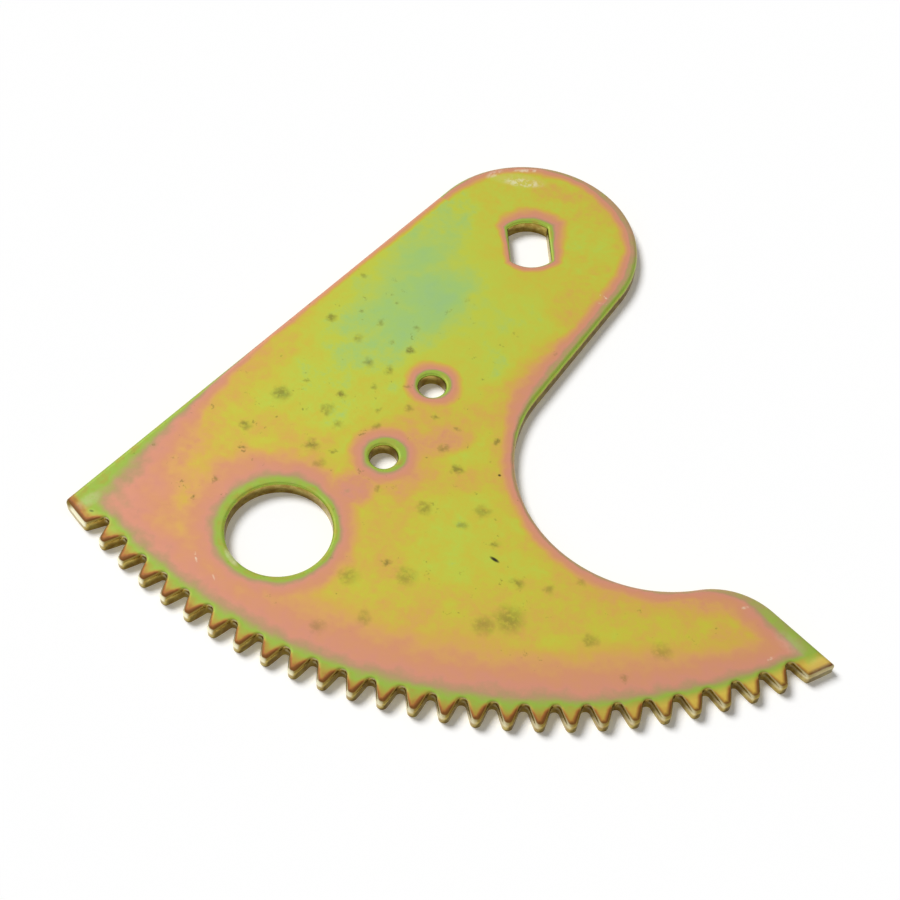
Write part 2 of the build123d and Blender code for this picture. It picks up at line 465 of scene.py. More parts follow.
def raise_plate(plate, sizes, form):
    """Makes the flat outline a plate with walls and rounded top edges."""
    inset = plate.verts.layers.float.new("inset")
    mark = plate.faces.layers.int.new("cap")
    filled = bmesh.ops.triangle_fill(plate, use_beauty=True, edges=plate.edges[:],
                                     normal=(0, 0, 1))
    bottom = [item for item in filled["geom"] if isinstance(item, bmesh.types.BMFace)]
    for vert in plate.verts:
        vert[inset] = UNDERSIDE_INSET
    raised = bmesh.ops.extrude_face_region(plate, geom=bottom)
    cap = [item for item in raised["geom"] if isinstance(item, bmesh.types.BMFace)]
    bmesh.ops.translate(plate, verts=corners_of(cap), vec=(0, 0, sizes.thickness))
    for face in cap:
        face[mark] = 1
    for vert in corners_of(cap):
        vert[inset] = 0
    before = 0
    for ring in RING_STEPS:
        cap = [face for face in plate.faces if face[mark]]
        sides = bmesh.ops.inset_region(plate, faces=cap, thickness=(ring - before) * MM,
                                       use_boundary=True, use_even_offset=True)
        for face in sides["faces"]:
            face[mark] = 0
        top = corners_of([face for face in plate.faces if face[mark]])
        for vert in top:
            vert[inset] = ring * MM
        if ring in COLLAPSE_RINGS:
            bmesh.ops.remove_doubles(plate, verts=top, dist=COLLAPSE_MERGE)
        before = ring
    lower_edges(plate, inset, sizes, form)
    burnish = BURNISH_LINE * sizes.thickness
    bmesh.ops.bisect_plane(plate, geom=plate.verts[:] + plate.edges[:] + plate.faces[:],
                           plane_co=(0, 0, burnish), plane_no=(0, 0, 1))
    draw_tips_down(plate, sizes, form.teeth)
    bmesh.ops.recalc_face_normals(plate, faces=plate.faces[:])
    for face in plate.faces:
        face.smooth = not face[mark] and face.normal.z > UNDERSIDE_SLOPE
    for edge in plate.edges:
        edge.smooth = all(face.normal.z > UNDERSIDE_SLOPE for face in edge.link_faces)


def plate_mesh(sizes):
    """The mesh of the whole plate."""
    form = PlateForm(sizes)
    plate = bmesh.new()
    draw_holes(plate, sizes)
    outer = bmesh.new()
    draw_outline(outer, sizes, form)
    outline = bpy.data.meshes.new("outline")
    outer.to_mesh(outline)
    outer.free()
    plate.from_mesh(outline)
    bpy.data.meshes.remove(outline)
    raise_plate(plate, sizes, form)
    mesh = bpy.data.meshes.new("sector_gear_plate")
    plate.to_mesh(mesh)
    plate.free()
    return mesh


class Number:
    """A number in a material's nodes. Arithmetic on it adds Math nodes."""

    def __init__(self, socket):
        self.socket = socket
        self.tree = socket.id_data

    def math(self, operation, *others):
        """The outcome of an operation on this number and perhaps others."""
        node = self.tree.nodes.new("ShaderNodeMath")
        node.operation = operation
        for place, value in zip(node.inputs, (self, *others)):
            feed(place, value)
        return Number(node.outputs[0])

    def __add__(self, other):
        return self.math("ADD", other)

    def __sub__(self, other):
        return self.math("SUBTRACT", other)

    def __mul__(self, other):
        return self.math("MULTIPLY", other)

    def __truediv__(self, other):
        return self.math("DIVIDE", other)

    def above(self, limit):
        """1 where this number is greater than the limit, and 0 elsewhere."""
        return self.math("GREATER_THAN", limit)

    def ramp(self, low, high, start=0, end=1):
        """Start at low, end at high, and a straight change between them."""
        node = self.tree.nodes.new("ShaderNodeMapRange")
        for place, value in zip(node.inputs, (self, low, high, start, end)):
            feed(place, value)
        return Number(node.outputs[0])

    def ease(self, low, high, start=0, end=1):
        """The same change with soft ends."""
        number = self.ramp(low, high, start, end)
        number.socket.node.interpolation_type = "SMOOTHSTEP"
        return number


def feed(place, value):
    """Puts a number, a link or a plain value into a node's socket."""
    if isinstance(value, Number):
        value = value.socket
    if isinstance(value, bpy.types.NodeSocket):
        place.id_data.links.new(value, place)
    else:
        place.default_value = value


def choose(test, one, other):
    """One number where the test is 1, and the other where it is 0."""
    return test.ramp(0, 1, other, one)


def vector_math(vector, operation, value):
    """The outcome of an operation between a vector and a plain one."""
    node = vector.id_data.nodes.new("ShaderNodeVectorMath")
    node.operation = operation
    feed(node.inputs[0], vector)
    feed(node.inputs[1], value)
    return node.outputs["Value" if operation in ("DISTANCE", "DOT_PRODUCT") else "Vector"]


def noise(place, scale, detail, roughness):
    """Soft noise of about 0 to 1, with a scale in bumps per millimetre."""
    node = place.vector.id_data.nodes.new("ShaderNodeTexNoise")
    feed(node.inputs["Vector"], place.vector)
    feed(node.inputs["Scale"], scale)
    feed(node.inputs["Detail"], detail)
    feed(node.inputs["Roughness"], roughness)
    return Number(node.outputs["Fac"])


def mixed(factor, one, other):
    """A colour between one and the other."""
    sockets = [value for value in (one, other) if isinstance(value, bpy.types.NodeSocket)]
    node = (factor.tree if sockets == [] else sockets[0].id_data).nodes.new("ShaderNodeMix")
    node.data_type = "RGBA"
    feed(node.inputs["Factor"], factor)
    for name, value in (("A", one), ("B", other)):
        place = next(s for s in node.inputs if s.name == name and s.type == "RGBA")
        feed(place, value if isinstance(value, bpy.types.NodeSocket) else (*value, 1))
    return next(s for s in node.outputs if s.type == "RGBA")


class Place:
    """Where a point of the plate lies, in millimetres."""

    def __init__(self, tree):
        coordinates = tree.nodes.new("ShaderNodeTexCoord")
        scale = tree.nodes.new("ShaderNodeVectorMath")
        scale.operation = "SCALE"
        scale.inputs["Scale"].default_value = 1 / MM
        tree.links.new(coordinates.outputs["Object"], scale.inputs[0])
        self.vector = scale.outputs[0]
        self.flat = vector_math(self.vector, "MULTIPLY", (1, 1, 0))
        split = tree.nodes.new("ShaderNodeSeparateXYZ")
        tree.links.new(self.vector, split.inputs[0])
        self.x, self.y, self.z = (Number(output) for output in split.outputs)

    def along(self, direction, origin=(0, 0)):
        """How far a point lies along a direction from an origin."""
        shifted_x = (self.x - origin[0]) * direction.x
        return shifted_x + (self.y - origin[1]) * direction.y

    def away(self, centre):
        """The distance from a vertical axis."""
        across = self.x - centre[0]
        along = self.y - centre[1]
        return (across * across + along * along).math("SQRT")


def millimetres(point):
    """A point's X and Y in millimetres."""
    return point[0] / MM, point[1] / MM


# Plating film, from 0 at its thinnest to 1 at its thickest. Each stop gives the
# name of its colour and the film there.
FILM_STOPS = (("film_teal", 0.0), ("film_mint", 0.14), ("film_lime", 0.24), ("film_yellow", 0.34),
              ("film_gold", 0.44), ("film_orange", 0.52), ("film_salmon", 0.6), ("film_pink", 0.66),
              ("film_mauve", 0.73), ("film_olive", 0.785), ("film_green", 0.84), ("film_amber", 0.9),
              ("film_rust", 0.95), ("film_brown_and_fold_reflection", 1.0))

# How the film thins out from an edge: share of the edge's reach, and film there
EDGE_PROFILE = ((0.0, 0.85), (0.08, 0.8), (0.15, 0.74), (0.23, 0.7), (0.33, 0.66), (0.6, 0.6),
                (0.8, 0.55), (1.0, 0.47), (1.25, 0.36), (1.5, 0.24))

# Clouds in the film: X and Y of the middle, half length and half
# width in millimetres, direction in degrees and the change of film
CLOUDS = ((-16, -30, 13, 8.5, 80, -0.13), (-19, -6, 9, 5, 80, -0.1), (-2, -22, 12, 9, 120, -0.06),
          (-23, -50, 5, 4, 70, -0.05), (-12, -18, 8, 6, 60, -0.03), (7, -34, 4, 3, 90, -0.04),
          (-17, 8, 5, 4, 90, -0.04), (14, -12, 5, 2.5, 95, 0.06), (8, -18, 7, 6, 80, -0.03),
          (15, -28, 7, 2.5, 80, 0.07), (7, -54.5, 5.5, 2.6, 35, 0.24), (-1, -55, 3, 2, 20, 0.14),
          (3, -49.5, 6, 2.2, 15, 0.12), (-2, -72, 4, 3.2, 60, 0.3), (6, -66, 3, 2.4, 60, 0.1),
          (-29, -86, 13, 8, 60, 0.1), (13, -40, 10, 3, 75, 0.08), (38, -93, 22, 5, 25, 0.05),
          (75, -75, 10, 5, 40, -0.07), (52, -81, 8, 4, 25, -0.05), (25, -70, 14, 7, 60, -0.03),
          (8, -80, 7, 5, 90, 0.06), (-22, -58, 9, 6, 0, -0.04),
          (11, -61, 8, 3.5, 20, 0.1), (-17, -66, 7, 3, 10, 0.08), (26, -67, 6, 2.5, -20, 0.06),
          (-2, 16, 5, 2, 10, 0.1))


def plate_distances(place, form, sizes):
    """The distances from the plate's left and right sides and from the bottoms
    of the tooth spaces, all in millimetres."""
    lobe = sizes.lobe_radius / MM
    radius = place.away((0, 0))
    left = polar(1, form.left_facing)
    right = polar(1, form.right_facing)
    from_lobe = radius * -1 + lobe
    from_left = place.along(left) * -1 + lobe
    left_side = choose(place.along(polar(1, form.left_facing - pi / 2)).above(0),
                       from_lobe, from_left)
    hump = millimetres(form.hump)
    bay = millimetres(form.bay)
    from_end = place.along(form.end_normal, hump) * -1 + sizes.hump_radius / MM
    from_hump = place.away(hump) * -1 + sizes.hump_radius / MM
    from_bay = place.away(bay) - sizes.bay_radius / MM
    shoulder = choose(place.along(form.end_along, hump).above(0), from_end, from_hump)
    past_bay = Vector((-form.bay_to_hump.y, form.bay_to_hump.x, 0))
    hollow = choose(place.along(past_bay, bay).above(0), shoulder, from_bay)
    from_right = place.along(right) * -1 + lobe
    upwards = polar(1, form.right_facing + pi / 2)
    bay_start = millimetres(form.bay - polar(sizes.bay_radius, form.right_facing))
    right_side = choose(place.along(upwards).above(0), from_lobe,
                        choose(place.along(upwards, bay_start).above(0), from_right, hollow))
    from_spaces = radius * -1 + form.teeth.root_radius / MM
    return left_side, right_side, from_spaces


# How much farther away the flanks on the left of their tooth count, in millimetres
PLAIN_FLANK = 0.4


def run_distance(place, form, sizes):
    """The distance from the nearest flank or tip of the toothed run. Flanks on
    the left of their tooth count as farther away, since they show less rust."""
    teeth = form.teeth
    radius = place.away((0, 0))
    tip = teeth.tip_radius / MM
    root = teeth.root_radius / MM
    first = sizes.run_middle - teeth.run_half
    turn = place.y.math("ARCTAN2", place.x) - first
    space = (turn / teeth.pitch).math("ROUND").math("MAXIMUM", 0)
    space = space.math("MINIMUM", sizes.space_count - 1)
    past_space = turn - space * teeth.pitch
    from_middle = past_space.math("ABSOLUTE") * radius + past_space.above(0) * PLAIN_FLANK
    half_widths = [teeth.half_space(r * MM) * r for r in (root, tip)]
    from_flank = (from_middle - radius.ramp(root, tip, *half_widths)) * cos(sizes.pressure_angle)
    from_root = radius * -1 + root
    return from_flank.math("MAXIMUM", from_root).math("MINIMUM", radius * -1 + tip)


# Small stains: X, Y and radius in millimetres, and strength
SMUDGES = ((-25.8, -24.9, 0.9, 0.5), (-16.3, -27.9, 0.7, 0.5), (-21.4, -33.4, 0.6, 0.6),
           (-16.6, -34.3, 0.9, 0.5), (-9.2, -31.6, 0.8, 0.5), (-25.7, -38.0, 1.3, 0.7),
           (-12.2, -37.3, 0.8, 0.5), (-7.8, -37.3, 1.2, 0.9), (-18.4, -39.9, 1.4, 0.5),
           (-13.5, -44.0, 1.4, 0.6), (-9.2, -43.9, 1.3, 0.6), (-3.8, -45.4, 0.8, 0.5),
           (-9.8, -48.8, 1.1, 0.6), (-1.2, -50.0, 1.0, 0.5), (4.3, -49.6, 0.8, 0.7),
           (9.2, -49.9, 0.6, 0.6), (17.2, -48.6, 1.0, 0.8), (-14.3, -53.6, 1.2, 0.9),
           (-21.7, -54.1, 0.8, 0.6), (-6.1, -53.4, 0.8, 0.5), (9.0, -54.8, 1.3, 0.6),
           (-14.7, -58.0, 1.8, 0.6), (-24.4, -59.2, 2.4, 0.7), (-11.3, -60.3, 1.4, 0.5),
           (-4.5, -56.8, 1.2, 0.5), (13.7, -58.0, 1.4, 0.7), (-13.2, -66.8, 2.0, 0.7),
           (-8.8, -66.2, 0.7, 0.6), (-26.4, -69.2, 1.5, 0.7), (-9.6, -69.8, 1.6, 0.4),
           (2.8, -69.2, 0.9, 0.5), (12.5, -68.8, 1.8, 0.6), (20.3, -68.5, 1.2, 0.5),
           (22.2, -64.0, 1.8, 0.5), (27.5, -69.4, 1.2, 0.6), (34.8, -74.6, 1.5, 0.6),
           (40.5, -73.0, 1.3, 0.5), (45.0, -68.7, 1.1, 0.4), (-24.3, -73.7, 0.7, 0.9),
           (-24.8, -82.5, 0.9, 0.7), (-26.2, -87.9, 0.6, 0.8), (12.0, -82.7, 1.0, 0.9),
           (16.5, -83.4, 2.6, 0.5), (7.5, -88.3, 2.2, 0.5), (37.0, -82.0, 3.6, 0.6),
           (33.5, -85.2, 2.6, 0.5), (51.5, -78.7, 1.7, 0.5), (63.5, -74.5, 2.2, 0.4),
           (60.0, -82.5, 1.1, 0.5), (14.3, -94.5, 1.9, 0.4), (8.0, -100.0, 1.9, 0.4))

# Pale scuffs, faint pale hazes and black marks: X and Y of the
# middle, half length and half width in millimetres, direction in degrees and
# strength
SCUFFS = ((-9, 15, 5, 1.5, 22, 0.5), (-15.6, 14.2, 2.6, 1.0, 60, 0.4), (-10, 18.6, 4, 0.6, 30, 0.5),
          (19.6, -5.2, 1.6, 0.3, -8, 0.7), (20.2, -7.0, 1.2, 0.25, 20, 0.5),
          (-18.6, -98.6, 1.6, 0.25, -48, 0.9), (-13.6, -100.5, 1.2, 0.2, -40, 0.3),
          (80.8, -66.2, 1.2, 0.4, 50, 0.4), (73, -58.7, 0.9, 0.4, 40, 0.4))
HAZES = ((-13.0, -95.5, 2.6, 0.9, -28, 0.38), (-42.4, -98.0, 3.2, 1.7, 70, 0.15),
         (83.0, -61.5, 4, 2.2, -18, 0.11), (89.0, -62.6, 3.2, 1.6, 60, 0.15),
         (-10, 15.2, 7, 2.4, 20, 0.12))
BLACK_MARKS = ((28.9, -72.2, 1.3, 0.45, -8, 1.0), (21.2, -55.2, 0.4, 0.35, 0, 0.9),
               (-21.1, -104.3, 0.35, 0.25, 0, 0.8), (-40.6, -99.7, 0.6, 0.3, 10, 0.6))


def round_mark(flat, x, y, radius, strength):
    """A strength in the middle of a round mark, falling to 0 at its edge."""
    distance = Number(vector_math(flat, "DISTANCE", (x, y, 0)))
    return distance.ease(0.1 * radius, 1.1 * radius, strength, 0)


def oval_mark(place, x, y, half_length, half_width, direction, strength):
    """The same for an oval mark, with its long way at an angle in degrees."""
    shifted = vector_math(place.flat, "SUBTRACT", (x, y, 0))
    lengthwise = polar(1 / half_length, radians(direction))
    crosswise = polar(1 / half_width, radians(direction + 90))
    along = Number(vector_math(shifted, "DOT_PRODUCT", lengthwise))
    across = Number(vector_math(shifted, "DOT_PRODUCT", crosswise))
    return (along * along + across * across).ease(0, 1, strength, 0)


def stops(tree, factor, rows):
    """A colour ramp through rows of a place and a colour."""
    node = tree.nodes.new("ShaderNodeValToRGB")
    feed(node.inputs[0], factor)
    elements = node.color_ramp.elements
    while len(elements) < len(rows):
        elements.new(0.5)
    for element, (position, value) in zip(elements, rows):
        element.position = position
        element.color = (*value, 1)
    return node.outputs["Color"]


def edge_film(distance, reach):
    """The film that an edge causes, by the distance from it and its reach."""
    node = distance.tree.nodes.new("ShaderNodeFloatCurve")
    curve = node.mapping.curves[0]
    far = EDGE_PROFILE[-1][0]
    while len(curve.points) < len(EDGE_PROFILE):
        curve.points.new(0.5, 0.5)
    for point, (share, film) in zip(curve.points, EDGE_PROFILE):
        point.location = (share / far, film)
    node.mapping.update()
    feed(node.inputs["Value"], distance / reach / far)
    return Number(node.outputs["Value"])


def join_films(films, softness):
    """The thickest of several films, with soft joins."""
    whole, *others = films
    for film in others:
        whole = whole.math("SMOOTH_MAX", film, softness)
    return whole


def strongest(numbers):
    """The greatest of several numbers."""
    whole, *others = numbers
    for other in others:
        whole = whole.math("MAXIMUM", other)
    return whole


def rimmed_film(distance, rim, reach):
    """The film that an edge causes where it has a green rim."""
    return edge_film((distance - rim).math("MAXIMUM", 0), reach)


# Noises in the plating: bumps per millimetre, detail and roughness
UNEVEN_NOISE = (0.16, 3, 0.55)
DRIFT_NOISE = (0.055, 3, 0.5)
PATCH_NOISE = (0.22, 4, 0.6)
GRAIN_NOISE = (0.9, 4, 0.7)
MOTTLE_NOISE = (0.3, 3, 0.6)
RAGGED_NOISE = (0.55, 3, 0.6)
BROKEN_NOISE = (1.1, 3, 0.7)
FLECK_NOISE = (0.42, 3, 0.75)
STREAK_NOISE = (0.8, 4, 0.65)
WALL_NOISE = (0.7, 3, 0.6)
SHINE_NOISE = (0.6, 3, 0.6)
BUMP_NOISE = (2.2, 4, 0.6)

# The rows below are changes. Each has the place, distance, slope or noise where
# the change starts and ends, and the values there, or else goes from 0 to 1.
# An X or Y at the end of a name says that the change runs along that axis.
# Distances, rims and reaches are in millimetres.
UNEVEN = (0.3, 0.7, 0.75, 1.25)

# The left side: its least reach, how much that grows, and its rim at the teeth
LEFT_REACH = 1.3
LEFT_GROWTH = 24
LEFT_GROWTH_Y = (-25, -100)
LEFT_RIM = 2.8
LEFT_RIM_Y = (-45, -100)

# The right side, with the hollow, the shoulder and the straight end
RIGHT_REACH_X = (-12, 16, 1.6, 2.1)
BAY_REACH_Y = (-16, -28, 0, 1.7)
HUMP_REACH_Y = (-42, -50, 0, -1.4)
END_REACH_X = (64, 90, 0, 7)
RIGHT_RIM_X = (-12, 8, 0.4, 1.15)
BAY_RIM_Y = (-28, -40, 0, -0.95)
END_RIM_X = (64, 88, 0, 2.5)
RIGHT_MOST_X = (64, 80, 0.735, 0.8)
END_MOST_X = (80, 88, 0, 0.04)
GREEN_LINE = (1.1, 0.5, 0, 0.1)
GREEN_LINE_LOBE_Y = (14, 1)
GREEN_LINE_HUMP_Y = (-52, -40)

# The toothed edge
TOOTH_REACH_X = (45, 80, 10.5, 7)
TOOTH_UNEVEN = (0.75, 1.25, 0.88, 1.12)
TOOTH_RIM_SWING = 0.5
TOOTH_RIM_SHIFT = -0.75


def side_films(place, left_side, right_side, spaces, uneven):
    """The films that the plate's two sides and its toothed edge cause."""
    left_growth = place.y.ramp(*LEFT_GROWTH_Y).math("POWER", 4) * LEFT_GROWTH
    left_reach = (left_growth + LEFT_REACH) * uneven
    left_rim = place.y.ramp(*LEFT_RIM_Y).math("POWER", 2) * LEFT_RIM
    at_bay = place.y.ramp(*BAY_REACH_Y) + place.y.ramp(*HUMP_REACH_Y)
    right_reach = place.x.ramp(*RIGHT_REACH_X) + at_bay + place.x.ramp(*END_REACH_X)
    right_rim = place.x.ramp(*RIGHT_RIM_X) + place.y.ramp(*BAY_RIM_Y) + place.x.ramp(*END_RIM_X)
    green_line = right_side.ramp(*GREEN_LINE) * place.y.ramp(*GREEN_LINE_LOBE_Y)
    green_line = green_line * place.y.ramp(*GREEN_LINE_HUMP_Y)
    most = place.x.ramp(*RIGHT_MOST_X) + place.x.ramp(*END_MOST_X) + green_line
    right_film = rimmed_film(right_side, right_rim, right_reach * uneven)
    tooth_rim = uneven * TOOTH_RIM_SWING + TOOTH_RIM_SHIFT
    tooth_reach = place.x.ramp(*TOOTH_REACH_X) * uneven.ramp(*TOOTH_UNEVEN)
    return [rimmed_film(left_side, left_rim, left_reach), right_film.math("MINIMUM", most),
            rimmed_film(spaces, tooth_rim, tooth_reach)]


PIVOT_RIM_Y = (-5, 4, 0.15, 0.8)
PIVOT_REACH_Y = (-3, 9, 1.2, 2.8)
LARGE_RIM_X = (-20, 2, 1.3, 0.8)
LARGE_REACH_X = (-24, 2, 8, 4)

# Haloes of the rivet holes: side of the hole along Y, how far the halo lies off
# to the right, rim and reach, and how far both lie off towards the pivot
RIVET_HALOES = ((1, 0, 0.6, 2.1), (-1, 0.2, 1.0, 3.1))
HALO_SHIFT = 0.42


def hole_films(place, sizes, uneven):
    """The films that the edges of the four holes cause."""
    from_flats = place.along(polar(1, sizes.flats_facing)).math("ABSOLUTE")
    from_flats = from_flats - sizes.pivot_flats / 2 / MM
    from_rounds = place.away((0, 0)) - sizes.pivot_radius / MM
    from_pivot = from_flats.math("MAXIMUM", from_rounds)
    pivot_reach = place.y.ramp(*PIVOT_REACH_Y) * uneven
    from_large = place.away(millimetres(LARGE["pos_m"])) - sizes.large_radius / MM
    large_reach = place.x.ramp(*LARGE_REACH_X) * uneven
    films = [rimmed_film(from_pivot, place.y.ramp(*PIVOT_RIM_Y), pivot_reach),
             rimmed_film(from_large, place.x.ramp(*LARGE_RIM_X), large_reach)]
    middle_x, middle_y = millimetres(RIVETS["pos_m"])
    half_spacing = RIVETS["dims"]["spacing_y_mm"] / 2
    for side, shift, rim, reach in RIVET_HALOES:
        middle = (middle_x + shift, middle_y + side * half_spacing + HALO_SHIFT)
        distance = place.away(middle) - sizes.rivet_radius / MM
        films.append(rimmed_film(distance, rim, uneven * reach))
    return films


REST_FILM = 0.3
DRIFT = (0.25, 0.75, -0.06, 0.06)
PATCHES = (0.25, 0.75, -0.06, 0.06)
GRAIN = (0.25, 0.75, -0.045, 0.045)
REST_Y = (-45, -100, 0, 0.05)
REST_FROM_TEETH = (26, 14, 0, 0.07)
REST_FROM_LEFT = (12, 3, 0, 0.14)
REST_FROM_LEFT_Y = (-33, -50)
REST_FROM_RIGHT = (7, 2, 0, 0.1)
REST_FROM_RIGHT_X = (-5, 5)
CLOUD_REACH = 1.7


def rest_film(place, left_side, right_side, spaces, calm):
    """The clouded film that the plate has away from its edges."""
    film = noise(place, *DRIFT_NOISE).ramp(*DRIFT) + REST_FILM
    film = film + noise(place, *PATCH_NOISE).ramp(*PATCHES) * calm
    film = film + place.y.ramp(*REST_Y) + spaces.ramp(*REST_FROM_TEETH)
    film = film + left_side.ramp(*REST_FROM_LEFT) * place.y.ramp(*REST_FROM_LEFT_Y)
    film = film + right_side.ramp(*REST_FROM_RIGHT) * place.x.ramp(*REST_FROM_RIGHT_X)
    for x, y, half_length, half_width, direction, change in CLOUDS:
        film = film + oval_mark(place, x, y, half_length * CLOUD_REACH, half_width * CLOUD_REACH,
                                direction, change)
    return film + noise(place, *GRAIN_NOISE).ramp(*GRAIN) * calm


FILM_JOIN = 0.05
MOTTLE = (0.3, 0.7, -0.035, 0.035)

# Where the face is less mottled: X and Y of the middle, and the change round it
CALM_MIDDLE = (-11, -20)
CALM = (12, 30, 0.4, 1)

# Thicker film where the edges of the teeth bend, and on their narrow ends. The brown line where the
# bend begins is a painted dark reflection.
RUST = (1.2, 0.55, 0, 0.07)
DARK_FOLD_REFLECTION = (0.58, 0.44, 0, 0.04)
ON_TOOTH = (-0.2, -1.1, 0.2, 1)
NARROW_TOOTH = (2.8, 1.6)
TOOTH_FILM = (-0.3, -3.4, 0, 0.11)


def film_thickness(place, form, sizes):
    """The film of the plating over the whole plate, from 0 to 1, and the
    distances from the bottoms of the tooth spaces and from the toothed run."""
    left_side, right_side, spaces = plate_distances(place, form, sizes)
    uneven = noise(place, *UNEVEN_NOISE).ramp(*UNEVEN)
    calm = place.away(CALM_MIDDLE).ramp(*CALM)
    films = [rest_film(place, left_side, right_side, spaces, calm)]
    films += side_films(place, left_side, right_side, spaces, uneven)
    films += hole_films(place, sizes, uneven)
    film = join_films(films, FILM_JOIN) + noise(place, *MOTTLE_NOISE).ramp(*MOTTLE) * calm
    from_run = run_distance(place, form, sizes)
    # The brown line where the teeth's edges begin to bend is a painted dark reflection
    bent = (from_run.ease(*RUST) + from_run.ease(*DARK_FOLD_REFLECTION)) * spaces.ramp(*ON_TOOTH)
    narrow = from_run.ease(*NARROW_TOOTH) * spaces.ramp(*TOOTH_FILM)
    return film + (bent + narrow), spaces, from_run


# How far the borders of the stains are ragged, and where flecks lie among them
RAGGED_SHIFT = 2.8
BROKEN = (0.32, 0.56, 0.4, 1)
FLECKS = (0.65, 0.72, 0, 0.55)
FLECKS_Y = (-15, -30)
FLECKS_FROM_TEETH = (4, 9)


def stained(face, place, spaces, finish):
    """The colour of the face with its small stains and flecks."""
    shift = noise(place, *RAGGED_NOISE).socket.node.outputs["Color"]
    shift = vector_math(shift, "SUBTRACT", (0.5, 0.5, 0))
    shift = vector_math(shift, "MULTIPLY", (RAGGED_SHIFT, RAGGED_SHIFT, 0))
    ragged = vector_math(place.flat, "ADD", shift)
    flecks = noise(place, *FLECK_NOISE).ease(*FLECKS)
    flecks = flecks * place.y.ramp(*FLECKS_Y) * spaces.ramp(*FLECKS_FROM_TEETH)
    stain = strongest([*(round_mark(ragged, *row) for row in SMUDGES), flecks])
    broken = noise(place, *BROKEN_NOISE).ease(*BROKEN)
    return mixed(stain * broken, face, finish.smudge_olive)


HAZE_STREAKS = (0.3, 0.6, 0.4, 1)
SCUFF_STREAKS = (0.42, 0.58)


def marked(face, place, finish):
    """The colour of the face with its hazes, scuffs and black marks."""
    streaks = noise(place, *STREAK_NOISE)
    for marks, tone, broken in ((HAZES, finish.pale_mark, HAZE_STREAKS),
                                (SCUFFS, finish.pale_mark, SCUFF_STREAKS),
                                (BLACK_MARKS, finish.dark_mark, None)):
        cover = strongest([oval_mark(place, *row) for row in marks])
        if broken:
            cover = cover * streaks.ease(*broken)
        face = mixed(cover, face, tone)
    return face


# Painted highlight: paler gold on the faces of the right-hand teeth
TEETH_HIGHLIGHT_DEPTH = (0, -1.6)
TEETH_HIGHLIGHT_X = (50, 74, 0, 0.6)
TEETH_HIGHLIGHT_EDGE = (0.5, 1.2)
TEETH_HIGHLIGHT_MIDDLE = (1.8, 3.5, 1, 0.4)


def face_colour(place, film, spaces, from_run, finish):
    """The colour of the flat faces: the film, what lies on it, and a painted highlight on the
    right-hand teeth.
    """
    rows = [(position, getattr(finish, name)) for name, position in FILM_STOPS]
    face = stops(place.vector.id_data, film, rows)
    face = marked(stained(face, place, spaces, finish), place, finish)
    # Painted highlight on the right-hand teeth
    teeth_highlight = spaces.ramp(*TEETH_HIGHLIGHT_DEPTH) * place.x.ramp(*TEETH_HIGHLIGHT_X)
    teeth_highlight = teeth_highlight * from_run.ramp(*TEETH_HIGHLIGHT_EDGE) * from_run.ramp(*TEETH_HIGHLIGHT_MIDDLE)
    return mixed(teeth_highlight, face, finish.tooth_painted_highlight)


# Walls and bent edges of the teeth that face this way, outwards and to the
# left, get a painted highlight in pale cream, and so do those at the right end.
# Heights are in millimetres above the underside.
SUNLIT = polar(1, radians(-125))
LEFT_CORNER = (0.8, 2.6)
HIGHLIGHT_STRENGTH_X = (-15, 60, 1, 0.4)
NEAR_TEETH = (1.5, 0.5)
AT_TIP = (-2.0, -3.3)
WALL_STREAKS = (0.35, 0.65)
WALL_SUN = (0.3, 0.85)
WALL_HEIGHT = (0.9, 1.8)
GLINT_HEIGHT = (2.2, 1.8)
BEND_SUN = (0.15, 0.85)
BEND_AT_TIP = (0, 1, 0.35, 1)
# Painted highlight at the right end: reach from its corner in millimetres, and strength on walls and
# bends
RIGHT_HIGHLIGHT_REACH = (7, 4)
RIGHT_WALL_HIGHLIGHT = 0.28
RIGHT_BEND_HIGHLIGHT = 0.2


def edge_colours(place, normal, spaces, finish, form):
    """The colours of the cut walls and of the teeth's bent edges, with their painted highlights."""
    sunlit = Number(vector_math(normal, "DOT_PRODUCT", SUNLIT))
    sunlit = sunlit * place.away(millimetres(form.left_corner)).ramp(*LEFT_CORNER)
    highlight_strength = place.x.ramp(*HIGHLIGHT_STRENGTH_X)
    # Painted highlight near the right end's corner
    right_end_highlight = place.away(millimetres(form.right_corner)).ramp(*RIGHT_HIGHLIGHT_REACH)
    at_tip = spaces.ramp(*AT_TIP)
    glint = at_tip.math("MAXIMUM", place.z.ease(*GLINT_HEIGHT))
    # Painted highlight on the upper walls near the teeth that face the lamp's side
    painted_highlight = sunlit.ease(*WALL_SUN) * spaces.ramp(*NEAR_TEETH) * place.z.ease(*WALL_HEIGHT)
    painted_highlight = (painted_highlight * glint * highlight_strength).math("MAXIMUM", right_end_highlight * RIGHT_WALL_HIGHLIGHT)
    streaks = noise(place, *WALL_NOISE).ease(*WALL_STREAKS)
    wall = mixed(streaks, finish.wall_brown, finish.wall_olive)
    wall = mixed(painted_highlight, wall, finish.wall_painted_highlight)
    # Painted highlight on the bent edges that face the same side
    painted_highlight = sunlit.ease(*BEND_SUN) * at_tip.ramp(*BEND_AT_TIP) * highlight_strength
    painted_highlight = painted_highlight.math("MAXIMUM", right_end_highlight * RIGHT_BEND_HIGHLIGHT)
    return wall, mixed(painted_highlight, finish.bend_gold, finish.bend_painted_highlight)


# Slopes are the upright part of the normal: 1 on the flat faces, 0 on the walls
BEND_SLOPE = (0.85, 0.7)
WALL_SLOPE = (0.5, 0.2)
SHINE_SLOPE = (0.95, 0.6)
SHINE = (0.25, 0.75, -0.06, 0.06)
SPECULAR = 0.12
BUMP_STRENGTH = 0.25
BUMP_HEIGHT = 0.02 * MM


